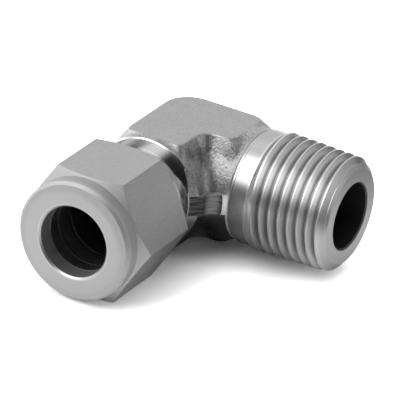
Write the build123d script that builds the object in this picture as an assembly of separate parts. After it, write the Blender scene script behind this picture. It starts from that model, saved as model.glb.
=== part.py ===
from build123d import *
import os
from math import atan, degrees, radians, sqrt, tan

# Male elbow for compression-jointed tube, in millimetres. The two centre lines
# cross at the origin: the tube port looks along -Y, the male pipe thread along
# +X, and the wrench pads of the forging face up and down.

# Tube port, measured along -Y from the crossing of the centre lines
tube_diameter = 12.7
tube_clearance = 0.1
tube_depth = 22.9
tube_passage_diameter = 10.4
mouth_chamfer = 0.3

# Nut
nut_face = 38.7
nut_length = 17.9
nut_flat_wall = 1.54
nut_corner_angle = 30.0
nut_back_step = 0.2
nut_shoulder_length = 3.2
nut_shoulder_step = 0.3
nut_face_step = 0.5
nut_ring_width = 2.35
nut_face_rise = 0.2
nut_face_edge = 0.7
nut_wall = 3.3
nut_thread_end = 31.6
nut_mouth_chamfer = 0.5
nut_seat_angle = 45.0
nut_seat_land = 0.5

# Fine running thread, plain at its crest on the body and in the nut
fine_thread_wall = 3.05
fine_thread_clearance = 0.06
fine_thread_start = 17.5
fine_thread_chamfer = 0.8
neck_step = 0.8
body_nose = 31.0
seat_angle = 20.0
seat_mouth_wall = 1.05

# Ferrules
ferrule_clearance = 0.05
ferrule_wall = 1.7
ferrule_standoff = 0.3
ferrule_recess_angle = 42.0
front_ferrule_nose_wall = 0.35
front_ferrule_lip = 0.5
recess_floor_wall = 0.25
back_ferrule_nose_wall = 0.4
back_ferrule_wall = 1.5
back_ferrule_rim = 0.6
pocket_clearance = 0.1
seat_gap = 0.04

# Forging
pad_rise = 0.05
pad_half_width = 5.5
pad_heel_radius = 5.2
pad_crotch_radius = 3.0
pad_wall_angle = 28.0
pad_end_tube = 13.2
pad_end_tube_angle = 38.0
pad_end_tube_radius = 1.6
pad_end_pipe = 11.2
pad_end_pipe_angle = 50.0
pad_end_pipe_radius = 2.5
pad_wall_depth = 4.0
pad_edge_radius = 0.7
pad_blend_radius = 2.0
arm_diameter = 20.2
flash_height = 3.8
flash_half_width = 10.5
crotch_radius = 2.5
forging_end_tube = 14.8
forging_end_pipe = 13.6
end_bevel = 1.0
end_bevel_step = 0.2

# Male pipe end, measured along +X from the crossing of the centre lines
pipe_end = 32.4
pipe_bore_diameter = 11.9
bore_overrun = 0.6
collar_diameter = 20.7
collar_chamfer = 0.4
collar_groove_width = 0.35
collar_groove_diameter = 19.6
pipe_thread_start = 17.2
pipe_thread_pitch = 25.4 / 14
pipe_thread_taper = 1 / 16
pipe_thread_end_diameter = 20.5
pipe_thread_depth = 1.22
pipe_thread_crest = 0.3
pipe_thread_lead_in = 1.2
pipe_thread_phase = 45.0
pipe_end_face_diameter = 17.2
pipe_end_chamfer_angle = 38.0
thread_flank_angle = 30.0

# Sizes that follow from the ones above
tube_bore = tube_diameter / 2 + tube_clearance
passage_bore = tube_passage_diameter / 2
pipe_bore = pipe_bore_diameter / 2
socket_bottom = nut_face - tube_depth
nut_back = nut_face - nut_length
nut_seat = nut_face - nut_wall
nut_hex_front = nut_face - nut_shoulder_length
ferrule_bore = tube_bore - ferrule_clearance
ferrule_radius = ferrule_bore + ferrule_wall
back_ferrule_radius = ferrule_bore + back_ferrule_wall
nut_seat_radius = tube_bore + nut_seat_land
back_ferrule_back = nut_seat - seat_gap
back_ferrule_land = nut_seat_land
back_ferrule_cone = (back_ferrule_radius - ferrule_bore - back_ferrule_land) / tan(radians(nut_seat_angle))
back_ferrule_front = back_ferrule_back - back_ferrule_cone - back_ferrule_rim
front_ferrule_back = back_ferrule_front - seat_gap
fine_thread_crest = tube_bore + fine_thread_wall
neck_radius = fine_thread_crest - neck_step
seat_mouth = tube_bore + seat_mouth_wall
nut_bore = fine_thread_crest + fine_thread_clearance
nut_flat = nut_bore + nut_flat_wall
nut_corner = nut_flat * 2 / sqrt(3)
nut_back_radius = nut_flat - nut_back_step
nut_shoulder = nut_flat - nut_shoulder_step
nut_face_radius = nut_shoulder - nut_face_step
nut_ring = tube_bore + nut_ring_width
arm_radius = arm_diameter / 2
pad_top = arm_radius + pad_rise
flash_half = flash_height / 2


def turned_on_tube_line(*profile):
    """Solid of revolution about the tube port's line, from (distance, radius) points."""
    points = [(radius, -distance) for distance, radius in profile]
    return revolve(make_face(Polyline(*points, close=True)), Axis.Y)


def turned_on_pipe_line(*profile):
    """Solid of revolution about the pipe thread's line, from (distance, radius) points."""
    return revolve(make_face(Polyline(*profile, close=True)), Axis.X)


def thread_cutter(tip, direction, length, tip_radius, pitch, depth, crest, slope):
    """Helical groove for a right-hand thread that starts at tip and runs along direction."""
    flank = tan(radians(thread_flank_angle))
    relief = crest / 4
    root_width = pitch - crest - 2 * depth * flank
    path = Helix(
        pitch,
        length,
        tip_radius - depth,
        center=tip,
        direction=direction,
        cone_angle=degrees(atan(slope)),
    )
    edge = path.edges()[0]
    start = edge.position_at(0)
    along = Vector(*direction)
    outward = start - Vector(*tip)
    outward = (outward - along * outward.dot(along)).normalized()
    section_plane = Plane(origin=start, x_dir=outward, z_dir=edge.tangent_at(0))
    reach = depth + relief / flank
    half_root = root_width / 2
    half_mouth = half_root + reach * flank
    section = make_face(
        Polyline(
            (0, -half_root),
            (reach, -half_mouth),
            (reach, half_mouth),
            (0, half_root),
            close=True,
        )
    )
    return sweep(section_plane * section, path=Wire([edge]), is_frenet=True)


def elbow_outline(half_width, end_tube, end_pipe, heel_radius, inner_radius):
    """Plan of the elbow: one arm along -Y, one along +X, round at heel and crotch."""
    outline = make_face(
        Polyline(
            (-half_width, -end_tube),
            (half_width, -end_tube),
            (half_width, -half_width),
            (end_pipe, -half_width),
            (end_pipe, half_width),
            (-half_width, half_width),
            close=True,
        )
    )
    heel = outline.vertices().sort_by_distance((-half_width, half_width, 0))[0]
    outline = fillet(heel, heel_radius)
    crotch = outline.vertices().sort_by_distance((half_width, -half_width, 0))[0]
    return fillet(crotch, inner_radius)


def pad_end_cutter(end, angle):
    """Wedge that slants a pad's end face, as a section along the arm and up."""
    reach = 2 * forging_end_tube
    run = tan(radians(angle))
    foot = pad_top - pad_wall_depth
    return make_face(
        Polyline(
            (end - run, pad_top + 1),
            (end + pad_wall_depth * run, foot),
            (end + pad_wall_depth * run, foot - 1),
            (end + reach, foot - 1),
            (end + reach, pad_top + 1),
            close=True,
        )
    )


def upper_pad():
    """Flat wrench pad with slanted walls, rounded corners and a rounded rim."""
    spread = pad_wall_depth * tan(radians(pad_wall_angle))
    overrun = pad_wall_depth * tan(radians(max(pad_end_tube_angle, pad_end_pipe_angle)))
    plan = elbow_outline(
        pad_half_width + spread,
        forging_end_tube + overrun,
        forging_end_pipe + overrun,
        pad_heel_radius + spread,
        pad_crotch_radius - spread,
    )
    foot = pad_top - pad_wall_depth
    block = extrude(Pos(0, 0, foot) * plan, pad_wall_depth, taper=pad_wall_angle)
    reach = 2 * forging_end_tube
    tube_section = mirror(pad_end_cutter(pad_end_tube, pad_end_tube_angle), Plane.YZ)
    pipe_section = pad_end_cutter(pad_end_pipe, pad_end_pipe_angle)
    tube_wedge = extrude(Plane.YZ * tube_section, reach, both=True)
    pipe_wedge = extrude(Plane.XZ * pipe_section, reach, both=True)
    block = block - tube_wedge - pipe_wedge
    half_way = pad_top - pad_wall_depth / 2
    corners = [
        edge for edge in block.edges() if abs(edge.center().Z - half_way) < pad_wall_depth / 10
    ]
    tube_corners = [edge for edge in corners if -edge.center().Y > pad_end_tube]
    block = fillet(tube_corners, pad_end_tube_radius)
    corners = [
        edge for edge in block.edges() if abs(edge.center().Z - half_way) < pad_wall_depth / 10
    ]
    pipe_corners = [edge for edge in corners if edge.center().X > pad_end_pipe]
    block = fillet(pipe_corners, pad_end_pipe_radius)
    block = fillet(block.faces().sort_by(Axis.Z)[-1].edges(), pad_edge_radius)
    within_forging = Pos(forging_end_pipe, -forging_end_tube, 0) * Box(
        3 * reach, 3 * reach, reach, align=(Align.MAX, Align.MIN, Align.CENTER)
    )
    return block & within_forging


def forging():
    """Round arms with a ball heel, flat wrench pads and the trimmed flash land."""
    tube_arm = turned_on_tube_line(
        (0, 0), (0, arm_radius), (forging_end_tube, arm_radius), (forging_end_tube, 0)
    )
    pipe_arm = turned_on_pipe_line(
        (0, 0), (0, arm_radius), (forging_end_pipe, arm_radius), (forging_end_pipe, 0)
    )
    arms = tube_arm + pipe_arm + Sphere(arm_radius)
    mitre = [
        edge
        for edge in arms.edges()
        if abs(edge.center().X + edge.center().Y) < 0.01 and edge.center().X > 1
    ]
    arms = fillet(mitre, crotch_radius)
    pad = upper_pad()
    arms = arms + pad + mirror(pad, Plane.XY)
    foot = pad_top - pad_wall_depth
    seams = [
        edge
        for edge in arms.edges()
        if foot < abs(edge.center().Z) < pad_top - pad_wall_depth / 2
        and edge.center().X < forging_end_pipe - 0.01
        and -edge.center().Y < forging_end_tube - 0.01
    ]
    arms = fillet(seams, pad_blend_radius)
    land_plan = elbow_outline(
        flash_half_width, forging_end_tube, forging_end_pipe, flash_half_width, crotch_radius
    )
    land = extrude(Pos(0, 0, -flash_half) * land_plan, flash_height)
    blank = arms + land
    bevel_foot = arm_radius - end_bevel_step
    reach = 2 * flash_half_width
    tube_bevel = turned_on_tube_line(
        (forging_end_tube, bevel_foot),
        (forging_end_tube - end_bevel * (reach - bevel_foot), reach),
        (forging_end_tube + reach, reach),
        (forging_end_tube + reach, bevel_foot),
    )
    pipe_bevel = turned_on_pipe_line(
        (forging_end_pipe, bevel_foot),
        (forging_end_pipe - end_bevel * (reach - bevel_foot), reach),
        (forging_end_pipe + reach, reach),
        (forging_end_pipe + reach, bevel_foot),
    )
    return blank - tube_bevel - pipe_bevel


def tube_end():
    """Neck, running thread and nose of the body's tube end, still without its bores."""
    return turned_on_tube_line(
        (0, 0),
        (0, neck_radius),
        (fine_thread_start, neck_radius),
        (fine_thread_start + neck_step, fine_thread_crest),
        (body_nose - fine_thread_chamfer, fine_thread_crest),
        (body_nose, fine_thread_crest - fine_thread_chamfer),
        (body_nose, 0),
    )


def pipe_thread():
    """Tapered male pipe thread, solid, from its shoulder at the collar to its end face."""
    slope = pipe_thread_taper / 2
    tip = pipe_thread_end_diameter / 2
    face = pipe_end_face_diameter / 2
    run_in = 3 * pipe_thread_pitch
    back = pipe_thread_start - run_in
    chamfer_length = (tip - face) * tan(radians(pipe_end_chamfer_angle))
    blank = turned_on_pipe_line(
        (back, 0),
        (back, tip + (pipe_end - back) * slope),
        (pipe_end - chamfer_length, tip + chamfer_length * slope),
        (pipe_end, face),
        (pipe_end, 0),
    )
    lead_in = pipe_thread_lead_in * pipe_thread_pitch
    groove = Rot(pipe_thread_phase, 0, 0) * thread_cutter(
        (pipe_end + lead_in, 0, 0),
        (-1, 0, 0),
        pipe_end - pipe_thread_start + lead_in + 1.3 * pipe_thread_pitch,
        tip - lead_in * slope,
        pipe_thread_pitch,
        pipe_thread_depth,
        pipe_thread_crest,
        slope,
    )
    reach = 2 * pipe_end
    beyond_collar = Pos(pipe_thread_start, 0, 0) * Box(
        reach, reach, reach, align=(Align.MIN, Align.CENTER, Align.CENTER)
    )
    return (blank - groove) & beyond_collar


def collar():
    """Turned collar between the forging and the pipe thread."""
    groove = collar_groove_diameter / 2
    outer = collar_diameter / 2
    start = forging_end_pipe + collar_groove_width
    return turned_on_pipe_line(
        (0, 0),
        (0, groove),
        (start, groove),
        (start + collar_chamfer, outer),
        (pipe_thread_start, outer),
        (pipe_thread_start, 0),
    )


def elbow_body():
    """One forging, machined into the tube end, the pipe end and the bored passage."""
    solid = forging() + tube_end() + collar() + pipe_thread()
    seat_foot = body_nose - (seat_mouth - tube_bore) / tan(radians(seat_angle))
    tube_bores = turned_on_tube_line(
        (0, 0),
        (0, passage_bore),
        (socket_bottom, passage_bore),
        (socket_bottom, tube_bore),
        (seat_foot, tube_bore),
        (body_nose, seat_mouth),
        (body_nose, 0),
    )
    pipe_bores = turned_on_pipe_line(
        (-bore_overrun, 0),
        (-bore_overrun, pipe_bore),
        (pipe_end - mouth_chamfer, pipe_bore),
        (pipe_end, pipe_bore + mouth_chamfer),
        (pipe_end, 0),
    )
    return solid - tube_bores - pipe_bores


def front_ferrule():
    """Ring whose tapered nose sits in the body's seat, hollowed behind for the back ferrule."""
    seat_slope = tan(radians(seat_angle))
    mouth = seat_mouth - seat_gap
    nose_radius = ferrule_bore + front_ferrule_nose_wall
    nose = body_nose - (mouth - nose_radius) / seat_slope
    rim_front = body_nose + ferrule_standoff
    recess_mouth = ferrule_radius - front_ferrule_lip
    recess_floor = ferrule_bore + recess_floor_wall
    recess_slope = tan(radians(ferrule_recess_angle))
    recess_depth = (recess_mouth - recess_floor) / recess_slope
    return turned_on_tube_line(
        (nose, ferrule_bore),
        (nose, nose_radius),
        (rim_front, mouth + ferrule_standoff * seat_slope),
        (rim_front, ferrule_radius),
        (front_ferrule_back, ferrule_radius),
        (front_ferrule_back, recess_mouth),
        (front_ferrule_back - recess_depth, recess_floor),
        (front_ferrule_back - recess_depth, ferrule_bore),
    )


def back_ferrule():
    """Small ring between the front ferrule's hollow and the nut's inner seat."""
    recess_slope = tan(radians(ferrule_recess_angle))
    recess_mouth = ferrule_radius - front_ferrule_lip
    nose_radius = ferrule_bore + back_ferrule_nose_wall
    nose = front_ferrule_back - (recess_mouth - seat_gap - nose_radius) / recess_slope
    return turned_on_tube_line(
        (nose, ferrule_bore),
        (nose, nose_radius),
        (front_ferrule_back, recess_mouth - seat_gap),
        (back_ferrule_front, recess_mouth - seat_gap),
        (back_ferrule_front, back_ferrule_radius),
        (back_ferrule_front + back_ferrule_rim, back_ferrule_radius),
        (back_ferrule_back, ferrule_bore + back_ferrule_land),
        (back_ferrule_back, ferrule_bore),
    )


def nut():
    """Hexagon nut with a turned shoulder, a seat for the ferrules and a threaded mouth."""
    slope = tan(radians(nut_corner_angle))
    hexagon = extrude(
        Plane.XZ.offset(nut_back) * RegularPolygon(nut_flat, 6, major_radius=False),
        nut_hex_front - nut_back,
    )
    profile = turned_on_tube_line(
        (nut_back, 0),
        (nut_back, nut_back_radius),
        (nut_back + (nut_corner - nut_back_radius) * slope, nut_corner),
        (nut_hex_front - (nut_corner - nut_shoulder) * slope, nut_corner),
        (nut_hex_front, nut_shoulder),
        (nut_hex_front, 0),
    )
    front = turned_on_tube_line(
        (nut_hex_front - nut_shoulder_length, 0),
        (nut_hex_front - nut_shoulder_length, nut_ring),
        (nut_hex_front, nut_ring),
        (nut_hex_front, nut_shoulder),
        (nut_face - nut_face_edge, nut_shoulder),
        (nut_face - nut_face_rise, nut_face_radius),
        (nut_face, nut_ring),
        (nut_face, 0),
    )
    blank = (hexagon & profile) + front
    pocket = ferrule_radius + pocket_clearance
    seat_rise = (pocket - nut_seat_radius) / tan(radians(nut_seat_angle))
    bores = turned_on_tube_line(
        (nut_back, 0),
        (nut_back, nut_bore + nut_mouth_chamfer),
        (nut_back + nut_mouth_chamfer, nut_bore),
        (nut_thread_end, nut_bore),
        (nut_thread_end + (nut_bore - pocket), pocket),
        (nut_seat - seat_rise, pocket),
        (nut_seat, nut_seat_radius),
        (nut_seat, tube_bore),
        (nut_face - mouth_chamfer, tube_bore),
        (nut_face, tube_bore + mouth_chamfer),
        (nut_face, 0),
    )
    return blank - bores


parts = {
    "elbow_body": elbow_body(),
    "nut": nut(),
    "front_ferrule": front_ferrule(),
    "back_ferrule": back_ferrule(),
}

os.makedirs("parts", exist_ok=True)
for name, shape in parts.items():
    shape.label = name
    export_step(shape, f"parts/{name}.step")
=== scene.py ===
import bpy
import math
from mathutils import Matrix, Vector
from mathutils.kdtree import KDTree


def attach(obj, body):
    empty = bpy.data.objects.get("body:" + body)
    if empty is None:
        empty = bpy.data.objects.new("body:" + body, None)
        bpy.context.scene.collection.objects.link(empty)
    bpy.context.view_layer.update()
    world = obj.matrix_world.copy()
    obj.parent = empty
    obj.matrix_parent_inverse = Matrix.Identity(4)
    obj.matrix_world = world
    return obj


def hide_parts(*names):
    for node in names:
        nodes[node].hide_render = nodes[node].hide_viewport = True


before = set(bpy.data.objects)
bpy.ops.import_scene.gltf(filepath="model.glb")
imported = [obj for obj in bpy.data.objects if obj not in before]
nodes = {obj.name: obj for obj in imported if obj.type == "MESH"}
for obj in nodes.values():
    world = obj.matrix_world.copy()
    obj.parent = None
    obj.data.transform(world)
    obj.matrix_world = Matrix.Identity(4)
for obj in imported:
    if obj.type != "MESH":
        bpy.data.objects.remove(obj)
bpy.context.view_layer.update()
millimetre = 0.001
print("frame loaded:", ", ".join(sorted(nodes)))


# Shader maths: one socket with the operators that are used here
class Socket:
    def __init__(self, shading, link):
        self.shading = shading
        self.link = link

    def maths(self, operation, first, second=None, clamp=False):
        values = {0: first} if second is None else {0: first, 1: second}
        made = self.shading.node("ShaderNodeMath", {"operation": operation, "use_clamp": clamp}, values)
        return made.out(0)

    def __add__(self, other):
        return self.maths("ADD", self, other)

    __radd__ = __add__

    def __sub__(self, other):
        return self.maths("SUBTRACT", self, other)

    def __rsub__(self, other):
        return self.maths("SUBTRACT", other, self)

    def __mul__(self, other):
        return self.maths("MULTIPLY", self, other)

    __rmul__ = __mul__

    def __truediv__(self, other):
        return self.maths("DIVIDE", self, other)

    def __neg__(self):
        return self.maths("MULTIPLY", self, -1.0)

    def root(self):
        return self.maths("SQRT", self)

    def size(self):
        return self.maths("ABSOLUTE", self)

    def atMost(self, other):
        return self.maths("MINIMUM", self, other)

    def atLeast(self, other):
        return self.maths("MAXIMUM", self, other)


class Made:
    def __init__(self, shading, item):
        self.shading = shading
        self.item = item

    def out(self, name):
        return Socket(self.shading, self.item.outputs[name])


class Shading:
    def __init__(self, tree):
        self.tree = tree
        tree.nodes.clear()

    def node(self, kind, settings=None, values=None):
        item = self.tree.nodes.new(kind)
        for name, value in (settings or {}).items():
            setattr(item, name, value)
        for name, value in (values or {}).items():
            if isinstance(value, Socket):
                self.tree.links.new(value.link, item.inputs[name])
            else:
                item.inputs[name].default_value = value
        return Made(self, item)

    # 0 below low, 1 above high, smooth between
    def step(self, value, low, high):
        made = self.node(
            "ShaderNodeMapRange",
            {"interpolation_type": "SMOOTHSTEP"},
            {"Value": value, "From Min": low, "From Max": high, "To Min": 0.0, "To Max": 1.0},
        )
        return made.out("Result")

    def between(self, value, low, high, edge):
        return self.step(value, low - edge, low + edge) * (1 - self.step(value, high - edge, high + edge))

    # The first value where share is 0, the second where it is 1
    def blend(self, first, second, share):
        return first + (second - first) * share

    def noise(self, place, scale, detail, rough=0.5):
        made = self.node(
            "ShaderNodeTexNoise",
            {"noise_dimensions": "3D"},
            {"Vector": place, "Scale": scale, "Detail": detail, "Roughness": rough},
        )
        return made.out("Fac")

    def scaled(self, place, factors):
        made = self.node("ShaderNodeMapping", {"vector_type": "POINT"}, {"Vector": place, "Scale": factors})
        return made.out("Vector")

    def grey(self, value):
        made = self.node("ShaderNodeCombineColor", {}, {0: value, 1: value, 2: value})
        return made.out(0)

    def bump(self, height, distance, strength, normal=None):
        values = {"Height": height, "Distance": distance, "Strength": strength}
        if normal is not None:
            values["Normal"] = normal
        return self.node("ShaderNodeBump", {}, values).out("Normal")


# Places in millimetres for a pattern: the point, its parts and its distances from both centre lines
def places(shading):
    point = shading.node("ShaderNodeTexCoord").out("Object")
    parts = shading.node("ShaderNodeSeparateXYZ", {}, {0: point})
    x = parts.out(0) * 1000
    y = parts.out(1) * 1000
    z = parts.out(2) * 1000
    fromTube = (x * x + z * z).root()
    fromPipe = (y * y + z * z).root()
    return point, x, -y, z, fromTube, fromPipe


def newMaterial(name):
    material = bpy.data.materials.new(name)
    material.use_nodes = True
    return material, Shading(material.node_tree)


def finishMaterial(shading, tone, rough, normal, metallic=1.0):
    surface = shading.node(
        "ShaderNodeBsdfPrincipled",
        {},
        {"Base Color": shading.grey(tone), "Roughness": rough, "Metallic": metallic, "Normal": normal},
    )
    shading.node("ShaderNodeOutputMaterial", {}, {"Surface": surface.out("BSDF")})


# Elbow body: forged grain on the elbow, turned metal on everything outside it. Lengths in millimetres,
# and a pair is where a change of tone begins and ends
body = {
    "forgingEndTube": 14.8,
    "forgingEndPipe": 13.6,
    "edge": 0.06,
    "bevelRadius": 9.9,
    "bevelEdge": (0.03, 0.07),
    "tubeBevelFrom": (13.2, 13.6),
    "pipeBevelFrom": (12.0, 12.4),
    "bevelHighlightTone": 0.92,
    "forgedTone": 0.62,
    "forgedRough": 0.40,
    "turnedTone": 0.70,
    "turnedRough": 0.26,
    "neckTone": 0.60,
    "neckRough": 0.15,
    "threadStart": 17.0,
    "threadTone": 0.76,
    "threadRough": 0.31,
    "rootShadeTone": 0.46,
    "rootReach": (0.45, 1.0),
    "threadTip": 10.25,
    "threadTaper": 32.0,
    "chamferStart": 31.0,
    "grooveLightTone": 0.95,
    "grooveReach": (16.9, 18.3),
    "grooveEdge": 0.15,
    "pipeEnd": 32.4,
    "endFaceFrom": (31.5, 31.7),
    "faceTone": 0.66,
    "faceRough": 0.34,
    "pipeBore": (6.1, 6.3),
    "pipeBoreFrom": (-4.0, -3.9),
    "tubeBore": (6.5, 6.7),
    "boresFrom": (12.0, 12.4),
    # bore colour: painted shade inside the bores
    "boreTone": 0.14,
    "boreRough": 0.50,
    "grainSize": 0.42,
    "grainDepth": 0.12,
    "grainShare": 0.55,
    "flatGrainLess": 0.30,
    "pits": (0.34, 0.46),
    "pitTone": 0.75,
    "flatPitsLess": 0.75,
    "flatBumpLess": 0.6,
    "patchSize": 3.5,
    "patchShare": 0.14,
    "patchRough": 0.12,
    "shadeSpots": [
        # spots of painted shade in hollows of the forging: point, reach
        ((11.9, -6.6, 8.2), 2.4),
        ((6.3, -11.6, 7.8), 1.9),
        ((7.6, -8.4, 6.6), 2.6),
    ],
    "shadeSpotShare": 0.42,
    "shadeSpotCore": 0.2,
    "shadeSpotRagged": (3.0, 1.6),
    "flatFrom": (10.03, 10.11),
    "flash": (1.82, 1.92),
    "flashShadeTone": 0.12,
    "flashMiddleHighlight": 0.24,
    "flashMiddle": (0.8, 2.8),
    "scratchScale": (260.0, 260.0, 2600.0),
    "scratchShare": 0.45,
    "crotchFrom": (13.0, 16.0),
    "crotchShadeTone": 0.80,
    "under": (-3.4, -1.6),
    "underShadeTone": 0.22,
    "ringScale": (9000.0, 60.0, 60.0),
    "ringDepth": 0.004,
}


def bodyMaterial():
    material, shading = newMaterial("forgedAndTurnedSteel")
    point, x, s, z, fromTube, fromPipe = places(shading)
    edge = body["edge"]
    tubeSide = shading.step(s, body["forgingEndTube"] - 2 * edge, body["forgingEndTube"] - edge)
    pipeSide = shading.step(x, body["forgingEndPipe"] - 2 * edge, body["forgingEndPipe"] - edge)
    tubeBevel = (fromTube + s - (body["forgingEndTube"] + body["bevelRadius"])).size()
    tubeBevel = (1 - shading.step(tubeBevel, *body["bevelEdge"])) * shading.step(s, *body["tubeBevelFrom"])
    pipeBevel = (fromPipe + x - (body["forgingEndPipe"] + body["bevelRadius"])).size()
    pipeBevel = (1 - shading.step(pipeBevel, *body["bevelEdge"])) * shading.step(x, *body["pipeBevelFrom"])
    bevels = (tubeBevel + pipeBevel).atMost(1.0)
    turned = (tubeSide + pipeSide + bevels).atMost(1.0)
    threads = shading.step(x, body["threadStart"] - edge, body["threadStart"] + edge)
    endFace = shading.step(x, *body["endFaceFrom"])
    inPipe = (1 - shading.step(fromPipe, *body["pipeBore"])) * shading.step(x, *body["pipeBoreFrom"])
    inTube = 1 - shading.step(fromTube, *body["tubeBore"])
    pipeBore = inPipe * shading.step(x, *body["boresFrom"])
    bores = (pipeBore + inTube * shading.step(s, *body["boresFrom"])).atMost(1.0)
    grain = shading.noise(point, 1000 / body["grainSize"], 3.0, 0.6)
    patches = shading.noise(point, 1000 / body["patchSize"], 3.0, 0.5)
    flat = shading.step(z, *body["flatFrom"])
    inFlash = 1 - shading.step(z.size(), *body["flash"])
    scratches = shading.noise(shading.scaled(point, body["scratchScale"]), 1.0, 2.0)
    inCrotch = shading.step(x + s, *body["crotchFrom"]) * (1 - flat)
    under = 1 - shading.step(z, *body["under"])

    # Forged surface: grain, pits, patches, painted shade in the crotch and in hollow spots, the trimmed
    # flash with painted shade and a painted highlight along its middle, and painted shade on the underside
    grainShare = body["grainShare"] - body["flatGrainLess"] * flat
    forgedTone = body["forgedTone"] + (grain - 0.5) * grainShare + (patches - 0.5) * body["patchShare"]
    pits = 1 - shading.step(grain, *body["pits"])
    forgedTone = forgedTone * (1 - (1 - body["pitTone"]) * pits * (1 - body["flatPitsLess"] * flat))
    # painted shade: the forging is darker in the inner corner between the arms
    forgedTone = forgedTone * (1 - (1 - body["crotchShadeTone"]) * inCrotch)
    # painted shade: dark spots with ragged edges in the hollows of the forging
    for place, reach in body["shadeSpots"]:
        nearby = shading.node(
            "ShaderNodeVectorMath",
            {"operation": "DISTANCE"},
            {0: point, 1: tuple(value * millimetre for value in place)},
        )
        byPatches, byGrain = body["shadeSpotRagged"]
        ragged = nearby.out("Value") * 1000 + (patches - 0.5) * byPatches + (grain - 0.5) * byGrain
        dark = 1 - shading.step(ragged, body["shadeSpotCore"] * reach, reach)
        forgedTone = forgedTone * (1 - body["shadeSpotShare"] * dark)
    # trimmed flash strip: painted shade, lighter along its middle as a painted highlight, with scratches
    middle = 1 - shading.step((x - s).size(), *body["flashMiddle"])
    flashShadeTone = body["flashShadeTone"] + middle * body["flashMiddleHighlight"]
    flashShadeTone = flashShadeTone + (scratches - 0.5) * body["scratchShare"]
    forgedTone = shading.blend(forgedTone, flashShadeTone, inFlash * inCrotch)
    # painted shade on the underside of the crotch
    forgedTone = shading.blend(forgedTone, body["underShadeTone"], under * inCrotch)

    # Turned surface: neck, thread with painted shade in its roots, painted light in the groove beside the
    # collar, end face, and bevels lightened partly as a painted highlight
    turnedTone = body["turnedTone"] + (body["threadTone"] - body["turnedTone"]) * threads
    turnedTone = shading.blend(turnedTone, body["neckTone"], tubeSide)
    depth = (body["pipeEnd"] - x) / body["threadTaper"] + body["threadTip"] - fromPipe
    chamfer = shading.step(x, body["chamferStart"] - edge, body["chamferStart"] + edge)
    # painted shade in the thread's roots
    root = shading.step(depth, *body["rootReach"]) * (threads - threads * chamfer)
    turnedTone = shading.blend(turnedTone, body["rootShadeTone"], root)
    # painted light in the shadowed groove beside the collar
    groove = shading.between(x, *body["grooveReach"], body["grooveEdge"])
    turnedTone = shading.blend(turnedTone, body["grooveLightTone"], groove)
    turnedTone = shading.blend(turnedTone, body["faceTone"], endFace)
    # bevels: polished turned steel, lighter than the rest partly as a painted highlight
    turnedTone = shading.blend(turnedTone, body["bevelHighlightTone"], bevels)
    tone = shading.blend(forgedTone, turnedTone, turned)
    # bores: a dark colour inside them as painted shade
    tone = shading.blend(tone, body["boreTone"], bores)

    turnedRough = body["turnedRough"] + (body["threadRough"] - body["turnedRough"]) * threads
    turnedRough = shading.blend(turnedRough, body["neckRough"], tubeSide)
    turnedRough = shading.blend(turnedRough, body["faceRough"], endFace)
    forgedRough = body["forgedRough"] + (patches - 0.5) * body["patchRough"]
    rough = shading.blend(forgedRough, turnedRough, turned)
    rough = shading.blend(rough, body["boreRough"], bores)
    rings = shading.noise(shading.scaled(point, body["ringScale"]), 1.0, 2.0)
    rugged = grain * (1 - turned) * (1 - body["flatBumpLess"] * flat)
    grainBump = shading.bump(rugged, body["grainDepth"] * millimetre, 1.0)
    normal = shading.bump(rings * turned, body["ringDepth"] * millimetre, 1.0, grainBump)
    finishMaterial(shading, tone, rough, normal)
    return material


# Nut: fine satin flats, with matt turned chamfers, shoulder and face. Lengths in millimetres
nut = {
    "flatFrom": (11.0, 11.07),
    "flatTone": 0.63,
    "flatRough": 0.34,
    "chamferTone": 0.72,
    "turnedRough": 0.60,
    "shoulderFrom": (35.45, 35.55),
    "shoulderTone": 0.58,
    "frontFrom": (37.3, 37.5),
    "faceFrom": (38.6, 38.66),
    "faceTone": 0.68,
    "faceRough": 0.44,
    "bore": (6.9, 7.1),
    "mouthFrom": (38.2, 38.24),
    "mouthHighlightTone": 0.80,
    "mouthRough": 0.40,
    "insideTo": (38.14, 38.2),
    "boreTone": 0.66,
    "boreRough": 0.55,
    "fineScale": (2600.0, 500.0, 2600.0),
    "fineShare": 0.03,
    "fineDepth": 0.003,
    "cloudSize": 4.0,
    "cloudShare": 0.05,
    "cloudRough": 0.06,
    "grainSize": 0.40,
    "grainShare": 0.22,
}


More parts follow.
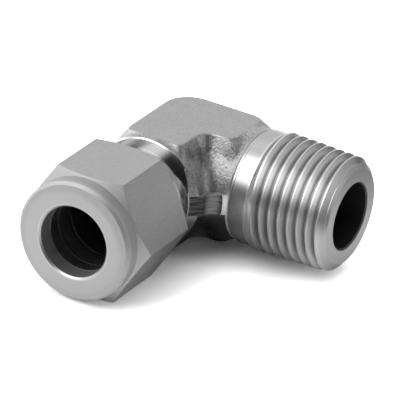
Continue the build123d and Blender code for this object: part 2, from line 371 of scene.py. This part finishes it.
def nutMaterial():
    material, shading = newMaterial("nutSteel")
    point, x, s, z, fromTube, fromPipe = places(shading)
    face = shading.step(s, *nut["faceFrom"])
    bore = 1 - shading.step(fromTube, *nut["bore"])
    inside = bore * (1 - shading.step(s, *nut["insideTo"]))
    fine = shading.noise(shading.scaled(point, nut["fineScale"]), 1.0, 3.0)
    cloud = shading.noise(point, 1000 / nut["cloudSize"], 2.0)
    grain = shading.noise(point, 1000 / nut["grainSize"], 2.0)
    tone = nut["flatTone"] + (cloud - 0.5) * nut["cloudShare"]
    tone = tone + (fine - 0.5) * nut["fineShare"] + (grain - 0.5) * nut["grainShare"]
    leanAcross = math.cos(math.radians(30))
    leanUp = math.sin(math.radians(30))
    rising = (x * leanAcross + z * leanUp).size()
    falling = (x * leanAcross - z * leanUp).size()
    outward = z.size().atLeast(rising).atLeast(falling)
    turned = 1 - shading.step(outward, *nut["flatFrom"])
    shoulder = shading.step(s, *nut["shoulderFrom"])
    front = shading.step(s, *nut["frontFrom"])
    mouth = bore * shading.step(s, *nut["mouthFrom"])
    tone = shading.blend(tone, nut["chamferTone"], turned)
    tone = shading.blend(tone, nut["shoulderTone"], shoulder)
    tone = shading.blend(tone, nut["faceTone"], front)
    # the mouth chamfer: polished, and lighter partly as a painted highlight
    tone = shading.blend(tone, nut["mouthHighlightTone"], mouth)
    tone = shading.blend(tone, nut["boreTone"], inside)
    rough = nut["flatRough"] + (cloud - 0.5) * nut["cloudRough"]
    rough = shading.blend(rough, nut["turnedRough"], turned)
    rough = shading.blend(rough, nut["faceRough"], face)
    rough = shading.blend(rough, nut["mouthRough"], mouth)
    rough = shading.blend(rough, nut["boreRough"], inside)
    normal = shading.bump(fine, nut["fineDepth"] * millimetre, 1.0)
    finishMaterial(shading, tone, rough, normal)
    return material


# Ferrules: turned rings with fine tool marks
ferrules = {
    "tone": 0.70,
    "toneShare": 0.10,
    "rough": 0.34,
    "roughShare": 0.05,
    "ringScale": (60.0, 6000.0, 60.0),
    "ringDepth": 0.004,
}


def ferruleMaterial():
    material, shading = newMaterial("ferruleSteel")
    point = places(shading)[0]
    rings = shading.noise(shading.scaled(point, ferrules["ringScale"]), 1.0, 2.0)
    tone = ferrules["tone"] + (rings - 0.5) * ferrules["toneShare"]
    rough = ferrules["rough"] + (rings - 0.5) * ferrules["roughShare"]
    normal = shading.bump(rings, ferrules["ringDepth"] * millimetre, 1.0)
    finishMaterial(shading, tone, rough, normal)
    return material


def dress(name, material):
    data = nodes[name].data
    data.materials.clear()
    data.materials.append(material)


bodySteel = bodyMaterial()
dress("elbow_body", bodySteel)
dress("nut", nutMaterial())
ferruleSteel = ferruleMaterial()
dress("front_ferrule", ferruleSteel)
dress("back_ferrule", ferruleSteel)
print("materials made")


# Running thread under the nut: a helical groove in place of the body's plain crest, in millimetres
thread = {
    "crest": 9.5,
    "crestStart": 18.3,
    "crestEnd": 30.2,
    "margin": 0.05,
    "pitch": 1.27,
    "depth": 0.62,
    "crestShare": 0.12,
    "runOut": 1.2,
    "around": 96,
    "rows": 118,
    "reach": 0.01,
    "joinReach": 0.0002,
}


def threadTree(material):
    tree = bpy.data.node_groups.new("runningThread", "GeometryNodeTree")
    making = Shading(tree)
    sockets = {}
    for name in ("crest", "start", "end", "pitch", "depth", "crestShare", "runOut"):
        sockets[name] = tree.interface.new_socket(name=name, in_out="INPUT", socket_type="NodeSocketFloat")
    tree.interface.new_socket(name="Geometry", in_out="OUTPUT", socket_type="NodeSocketGeometry")
    given = making.node("NodeGroupInput")
    crest, start, end, pitch, depth, crestShare, runOut = [given.out(name) for name in sockets]
    counts = {"Vertices X": thread["around"] + 1, "Vertices Y": thread["rows"]}
    sheet = making.node("GeometryNodeMeshGrid", {}, counts).out("Mesh")
    place = making.node("GeometryNodeInputPosition").out(0)
    parts = making.node("ShaderNodeSeparateXYZ", {}, {0: place})
    turn = parts.out(0) + 0.5
    along = start + (end - start) * (parts.out(1) + 0.5)
    turns = along / pitch - turn
    phase = turns.maths("FRACT", turns)
    groove = 1 - (phase * 2 - 1).size()
    groove = ((groove - crestShare) / (1 - crestShare * 2)).atLeast(0.0).atMost(1.0)
    fade = (((along - start).atMost(end - along)) / runOut).atMost(1.0)
    radius = (crest - depth * groove * fade) * millimetre
    angle = turn * (2 * math.pi)
    across = radius * angle.maths("COSINE", angle)
    upward = radius * angle.maths("SINE", angle)
    point = making.node("ShaderNodeCombineXYZ", {}, {0: across, 1: along * -millimetre, 2: upward})
    wound = making.node("GeometryNodeSetPosition", {}, {"Geometry": sheet, "Position": point.out(0)})
    closed = making.node("GeometryNodeMergeByDistance", {}, {"Geometry": wound.out(0), "Distance": 1e-6})
    realised = making.node("GeometryNodeRealizeInstances", {}, {"Geometry": closed.out(0)})
    finished = making.node(
        "GeometryNodeSetMaterial", {}, {"Geometry": realised.out(0), "Material": material}
    )
    making.node("NodeGroupOutput", {}, {"Geometry": finished.out(0)})
    return tree, sockets


def threadSheet(material):
    tree, sockets = threadTree(material)
    helper = bpy.data.objects.new("threadHelper", bpy.data.meshes.new("threadHelper"))
    bpy.context.scene.collection.objects.link(helper)
    modifier = helper.modifiers.new("thread", "NODES")
    modifier.node_group = tree
    values = dict(
        thread,
        start=thread["crestStart"] + thread["margin"],
        end=thread["crestEnd"] - thread["margin"],
    )
    for name, socket in sockets.items():
        modifier[socket.identifier] = float(values[name])
    evaluated = helper.evaluated_get(bpy.context.evaluated_depsgraph_get())
    mesh = bpy.data.meshes.new_from_object(evaluated)
    bpy.data.objects.remove(helper)
    return mesh


def outwardFromTube(point):
    return Vector((point.x, 0, point.z)).normalized()


# Edges that only one face uses, as the set of their end points
def openPoints(faces):
    used = {}
    for face in faces:
        for first, second in zip(face, face[1:] + face[:1]):
            pair = (min(first, second), max(first, second))
            used[pair] = used.get(pair, 0) + 1
    return {index for pair, count in used.items() if count == 1 for index in pair}


def ringNear(points, indices, along):
    reach = thread["reach"] * millimetre
    near = [index for index in indices if abs(-points[index].y - along * millimetre) < reach]
    return sorted(near, key=lambda index: math.atan2(points[index].z, points[index].x))


# A band of triangles between two closed rings on the tube line
def bandFaces(points, first, second):
    angles = [[math.atan2(points[index].z, points[index].x) for index in ring] for ring in (first, second)]
    faces = []
    one = two = 0
    while one < len(first) or two < len(second):
        nextOne = angles[0][one + 1] if one + 1 < len(first) else angles[0][0] + 2 * math.pi
        nextTwo = angles[1][two + 1] if two + 1 < len(second) else angles[1][0] + 2 * math.pi
        here = first[one % len(first)]
        there = second[two % len(second)]
        if two == len(second) or (one < len(first) and nextOne <= nextTwo):
            faces.append([here, first[(one + 1) % len(first)], there])
            one += 1
        else:
            faces.append([here, second[(two + 1) % len(second)], there])
            two += 1
    return faces


def threadedBody(material):
    source = nodes["elbow_body"].data
    tree = KDTree(len(source.vertices))
    for vertex in source.vertices:
        tree.insert(vertex.co, vertex.index)
    tree.balance()
    points = [vertex.co.copy() for vertex in source.vertices]
    joinReach = thread["joinReach"] * millimetre
    same = [min(item[1] for item in tree.find_range(point, joinReach)) for point in points]
    crest = thread["crest"] * millimetre
    reach = thread["reach"] * millimetre

    def onCrest(point):
        along = -point.y
        inReach = thread["crestStart"] * millimetre - reach < along < thread["crestEnd"] * millimetre + reach
        return inReach and abs(math.hypot(point.x, point.z) - crest) < reach

    faces = []
    normals = []
    for polygon in source.polygons:
        face = [same[index] for index in polygon.vertices]
        if len(set(face)) < 3 or all(onCrest(points[index]) for index in face):
            continue
        faces.append(face)
        normals += [source.corner_normals[corner].vector.copy() for corner in polygon.loop_indices]
    sheet = threadSheet(material)
    base = len(points)
    points += [vertex.co.copy() for vertex in sheet.vertices]
    sheetFaces = [[base + index for index in polygon.vertices] for polygon in sheet.polygons]
    edges = openPoints(faces)
    sheetEdges = openPoints(sheetFaces)
    added = list(sheetFaces)
    for place, inner in (
        (thread["crestStart"], thread["crestStart"] + thread["margin"]),
        (thread["crestEnd"], thread["crestEnd"] - thread["margin"]),
    ):
        added += bandFaces(points, ringNear(points, edges, place), ringNear(points, sheetEdges, inner))
    for face in added:
        middle = sum((points[index] for index in face), Vector()) / len(face)
        slope = (points[face[1]] - points[face[0]]).cross(points[face[2]] - points[face[0]])
        ordered = face if slope.dot(outwardFromTube(middle)) > 0 else face[::-1]
        faces.append(ordered)
        for index in ordered:
            if index >= base:
                normal = sheet.vertices[index - base].normal.copy()
                normals.append(normal if normal.dot(outwardFromTube(points[index])) > 0 else -normal)
            else:
                normals.append(outwardFromTube(points[index]))
    mesh = bpy.data.meshes.new("threaded_elbow_body")
    used = sorted({index for face in faces for index in face})
    place = {index: number for number, index in enumerate(used)}
    corners = [[place[index] for index in face] for face in faces]
    mesh.from_pydata([points[index] for index in used], [], corners)
    mesh.polygons.foreach_set("use_smooth", [True] * len(mesh.polygons))
    mesh.normals_split_custom_set(normals)
    mesh.materials.append(material)
    piece = bpy.data.objects.new("threaded_elbow_body", mesh)
    bpy.context.scene.collection.objects.link(piece)
    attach(piece, "fitting_body")
    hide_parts("elbow_body")
    openCount = len(openPoints([list(polygon.vertices) for polygon in mesh.polygons]))
    print("body thread made:", len(mesh.polygons), "faces,", openCount, "open")


threadedBody(bodySteel)


# Floor that stays white to the camera and keeps the fitting's shadow, with painted light that makes it
# lighter away from the fitting and in the corner between its arms. In reflections it has painted light
# behind, painted shade far off at the right and painted shade beside the collar. Lengths in millimetres
floor = {
    "height": -11.15,
    "halfWidth": 1500.0,
    "tone": 0.80,
    "seenTone": 2.0,
    "centre": (0.0, -20.0),
    "clearLightTone": 4.5,
    "clearFrom": (24.0, 46.0),
    "cornerLightShare": 0.75,
    "cornerAcross": (4.0, 13.0),
    "cornerAlong": (4.0, 15.0),
    "mirroredTone": 1.15,
    "farShadeTone": 0.12,
    "farFrom": (45.0, 95.0),
    "farAcross": (-30.0, 10.0),
    "behindLightTone": 1.8,
    "behindAlong": (20.0, 45.0),
    "behindAcross": (18.0, 40.0),
    "shadePlace": (14.0, -9.0),
    "shadeReach": (5.0, 20.0),
    "shadeShare": 0.50,
}


def awayFrom(place, x, y):
    across = x - place[0]
    along = y - place[1]
    return across, along, (across * across + along * along).root()


def floorMaterial():
    material, shading = newMaterial("paleFloor")
    point = shading.node("ShaderNodeTexCoord").out("Object")
    parts = shading.node("ShaderNodeSeparateXYZ", {}, {0: point})
    x = parts.out(0) * 1000
    y = parts.out(1) * 1000
    across, along, away = awayFrom(floor["centre"], x, y)
    # in reflections: painted light behind, painted shade far off at the right and beside the collar
    far = shading.step(away, *floor["farFrom"]) * shading.step(across, *floor["farAcross"])
    behind = shading.step(along, *floor["behindAlong"]) * (1 - shading.step(across, *floor["behindAcross"]))
    shade = 1 - shading.step(awayFrom(floor["shadePlace"], x, y)[2], *floor["shadeReach"])
    reflected = floor["mirroredTone"] + (floor["farShadeTone"] - floor["mirroredTone"]) * far
    reflected = shading.blend(reflected, floor["behindLightTone"], behind)
    reflected = reflected * (1 - shade * floor["shadeShare"])
    # painted light: the shadow seen by the camera is lighter away from the fitting and in the corner between
    # its arms
    clear = shading.step(away, *floor["clearFrom"])
    corner = shading.step(x, *floor["cornerAcross"]) * shading.step(-y, *floor["cornerAlong"])
    shown = floor["seenTone"] + (floor["clearLightTone"] - floor["seenTone"]) * clear
    shown = shown * (1 + corner * floor["cornerLightShare"])
    rays = shading.node("ShaderNodeLightPath")
    seen = rays.out("Is Camera Ray")
    mirrored = (rays.out("Is Glossy Ray") + rays.out("Is Transmission Ray")).atMost(1.0)
    tone = floor["tone"] + (shown - floor["tone"]) * seen
    tone = shading.blend(tone, reflected, mirrored)
    surface = shading.node("ShaderNodeBsdfDiffuse", {}, {"Color": shading.grey(tone)})
    shading.node("ShaderNodeOutputMaterial", {}, {"Surface": surface.out("BSDF")})
    return material


def makeFloor():
    half = floor["halfWidth"] * millimetre
    height = floor["height"] * millimetre
    mesh = bpy.data.meshes.new("floor")
    corners = [(-half, -half, height), (half, -half, height), (half, half, height), (-half, half, height)]
    mesh.from_pydata(corners, [], [(0, 1, 2, 3)])
    plane = bpy.data.objects.new("floor", mesh)
    bpy.context.scene.collection.objects.link(plane)
    mesh.materials.append(floorMaterial())


makeFloor()

# World: a grey room with soft boxes overhead, at the left, behind and faintly at the right, dimmer towards
# the camera and low in front. To the camera it is white
studio = {
    "camera": 1.0,
    "base": 0.36,
    "boxes": [
        # direction, cosine at the outer edge, cosine at the inner edge, strength
        ((-0.42, -0.58, 0.72), 0.86, 0.95, 1.50),
        ((-0.30, -0.10, 0.95), 0.70, 0.95, 0.35),
        ((-1.0, 0.10, 0.12), 0.80, 0.97, 0.95),
        ((-0.45, 0.80, 0.42), 0.60, 0.98, 0.30),
        ((1.0, 0.15, 0.20), 0.80, 0.97, 0.25),
        ((0.58, -0.62, 0.52), 0.74, 0.94, -0.45),
        ((-0.30, -0.95, -0.02), 0.88, 0.96, -0.10),
    ],
    "least": 0.02,
}


def makeWorld():
    world = bpy.data.worlds.new("studioTent")
    bpy.context.scene.world = world
    world.use_nodes = True
    shading = Shading(world.node_tree)
    direction = shading.node("ShaderNodeTexCoord").out("Generated")
    total = studio["base"]
    for aim, outer, inner, strength in studio["boxes"]:
        unit = tuple(Vector(aim).normalized())
        facing = shading.node("ShaderNodeVectorMath", {"operation": "DOT_PRODUCT"}, {0: direction, 1: unit})
        total = shading.step(facing.out("Value"), outer, inner) * strength + total
    total = total.atLeast(studio["least"])
    seen = shading.node("ShaderNodeLightPath").out("Is Camera Ray")
    tone = total + (studio["camera"] - total) * seen
    surface = shading.node("ShaderNodeBackground", {}, {"Color": shading.grey(tone), "Strength": 1.0})
    shading.node("ShaderNodeOutputWorld", {}, {"Surface": surface.out("Background")})


makeWorld()
print("stage and light made")

# Camera: angles in degrees, lengths in millimetres, focal length in picture widths of 400 pixels
view = {
    "azimuth": 27.726,
    "elevation": 26.772,
    "roll": 5.241,
    "distance": 860.104,
    "shiftRight": -2.114,
    "shiftUp": 6.562,
    "focal": 4931.064,
    "pictureWidth": 400.0,
    "sensor": 36.0,
}


def makeCamera():
    azimuth = math.radians(view["azimuth"])
    elevation = math.radians(view["elevation"])
    roll = math.radians(view["roll"])
    right = Vector((math.cos(azimuth), math.sin(azimuth), 0))
    back = Vector(
        (
            math.sin(azimuth) * math.cos(elevation),
            -math.cos(azimuth) * math.cos(elevation),
            math.sin(elevation),
        )
    )
    up = back.cross(right)
    rolledRight = math.cos(roll) * right + math.sin(roll) * up
    rolledUp = -math.sin(roll) * right + math.cos(roll) * up
    place = -(rolledRight * view["shiftRight"] + rolledUp * view["shiftUp"] - back * view["distance"])
    data = bpy.data.cameras.new("camera")
    data.sensor_width = view["sensor"]
    data.lens = view["focal"] * view["sensor"] / view["pictureWidth"]
    data.clip_start = 0.01
    data.clip_end = 20
    camera = bpy.data.objects.new("camera", data)
    bpy.context.scene.collection.objects.link(camera)
    turn = Matrix((rolledRight, rolledUp, back)).transposed().to_4x4()
    camera.matrix_world = Matrix.Translation(place * millimetre) @ turn
    bpy.context.scene.camera = camera


makeCamera()
bpy.context.scene.view_settings.view_transform = "Standard"
print("camera made")
